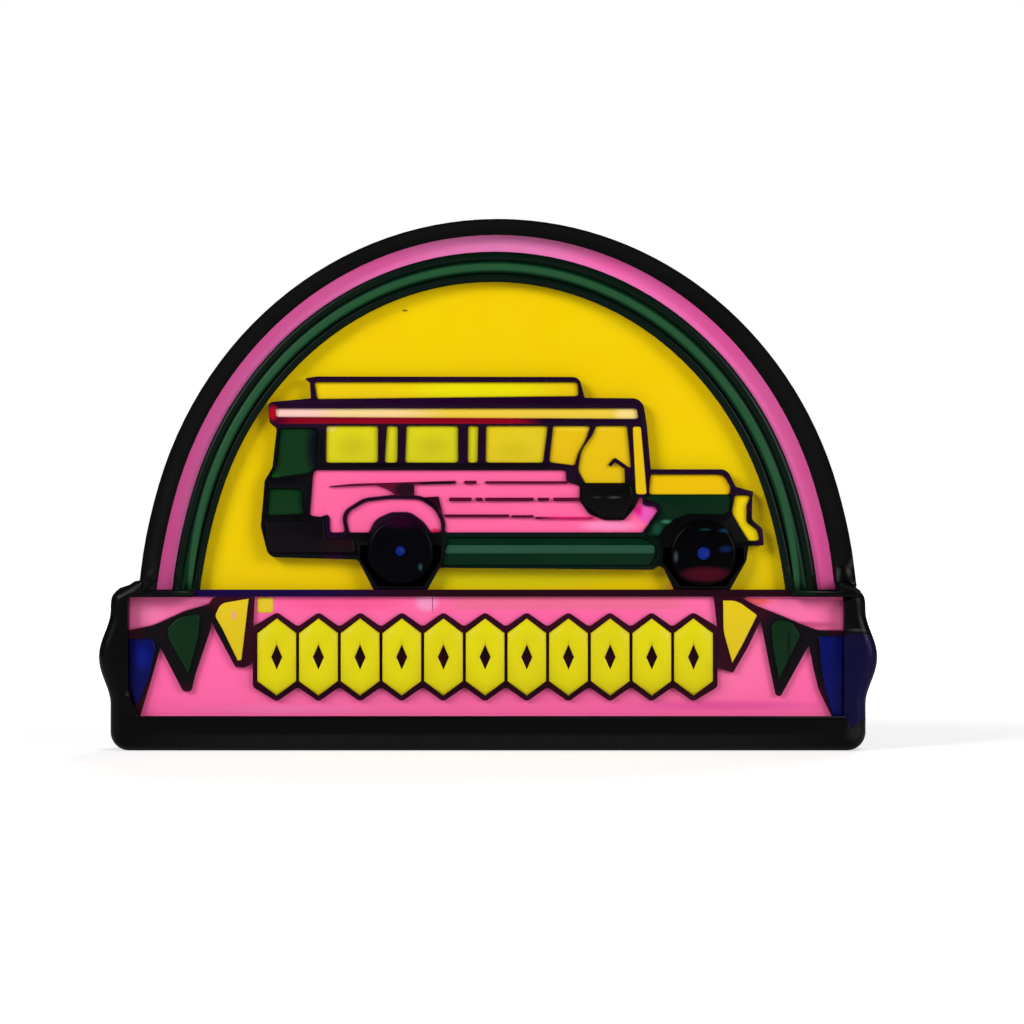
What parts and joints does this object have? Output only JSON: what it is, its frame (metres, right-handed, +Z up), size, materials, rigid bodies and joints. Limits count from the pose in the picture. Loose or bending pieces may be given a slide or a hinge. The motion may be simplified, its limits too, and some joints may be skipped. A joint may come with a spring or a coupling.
{
  "type": "souvenir fridge magnet",
  "caption": "Soft-PVC souvenir fridge magnet: a jeepney in low relief under a rainbow arch, on a base block with bunting and a tile border.",
  "frame": {"origin": "centre of the bottom edge that it stands on, midway through the thickness", "axes": "+Z up, +X to the right as seen from the front, the picture faces -Y and the magnet sheet +Y"},
  "size_m": [0.08, 0.0062, 0.0547],
  "materials": {
    "black_pvc": "moulded soft PVC, semi-gloss",
    "aubergine_pvc": "moulded soft PVC, semi-gloss",
    "pink_pvc": "moulded soft PVC, semi-gloss",
    "green_pvc": "moulded soft PVC, semi-gloss",
    "dark_green_pvc": "moulded soft PVC, semi-gloss",
    "sun_yellow_pvc": "moulded soft PVC, semi-gloss",
    "lime_yellow_pvc": "moulded soft PVC, semi-gloss",
    "cream_pvc": "moulded soft PVC, semi-gloss",
    "blue_pvc": "moulded soft PVC, semi-gloss",
    "navy_pvc": "moulded soft PVC, semi-gloss",
    "magnet_rubber": "flexible ferrite-filled magnetic sheet, matte"
  },
  "bodies": {
    "root": {"arch_band_green": "green_pvc", "arch_band_pink": "pink_pvc", "black_moulding": "black_pvc", "bonnet": "sun_yellow_pvc", "corner_left": "pink_pvc", "corner_right": "pink_pvc", "driver_opening": "sun_yellow_pvc", "flag_blue_left": "blue_pvc", "flag_blue_right": "blue_pvc", "flag_green_left": "green_pvc", "flag_green_right": "green_pvc", "flag_navy_right": "navy_pvc", "flag_yellow_left": "sun_yellow_pvc", "flag_yellow_right": "sun_yellow_pvc", "front_fender": "dark_green_pvc", "ground_line": "aubergine_pvc", "hub_front": "blue_pvc", "hub_rear": "blue_pvc", "jeepney_lines": "aubergine_pvc", "magnet_sheet": "magnet_rubber", "nose": "sun_yellow_pvc", "ornament_tiles": "lime_yellow_pvc", "panel_end": "lime_yellow_pvc", "panel_lines": "aubergine_pvc", "panel_lower": "pink_pvc", "panel_top": "pink_pvc", "rear_fender": "pink_pvc", "rear_panel_lower": "green_pvc", "rear_panel_upper": "green_pvc", "rear_skirt": "black_pvc", "roof_rack_infill": "sun_yellow_pvc", "roof_strip": "cream_pvc", "side_body": "pink_pvc", "sill": "dark_green_pvc", "sill_stripe": "green_pvc", "step_bowl": "black_pvc", "sun_field": "sun_yellow_pvc", "tyre_front": "black_pvc", "tyre_rear": "black_pvc", "window_1": "lime_yellow_pvc", "window_2": "lime_yellow_pvc", "window_3": "lime_yellow_pvc", "window_4": "lime_yellow_pvc", "window_slat_1": "lime_yellow_pvc", "window_slat_2": "lime_yellow_pvc", "windscreen_pillar": "sun_yellow_pvc"}
  },
  "joints": []
}
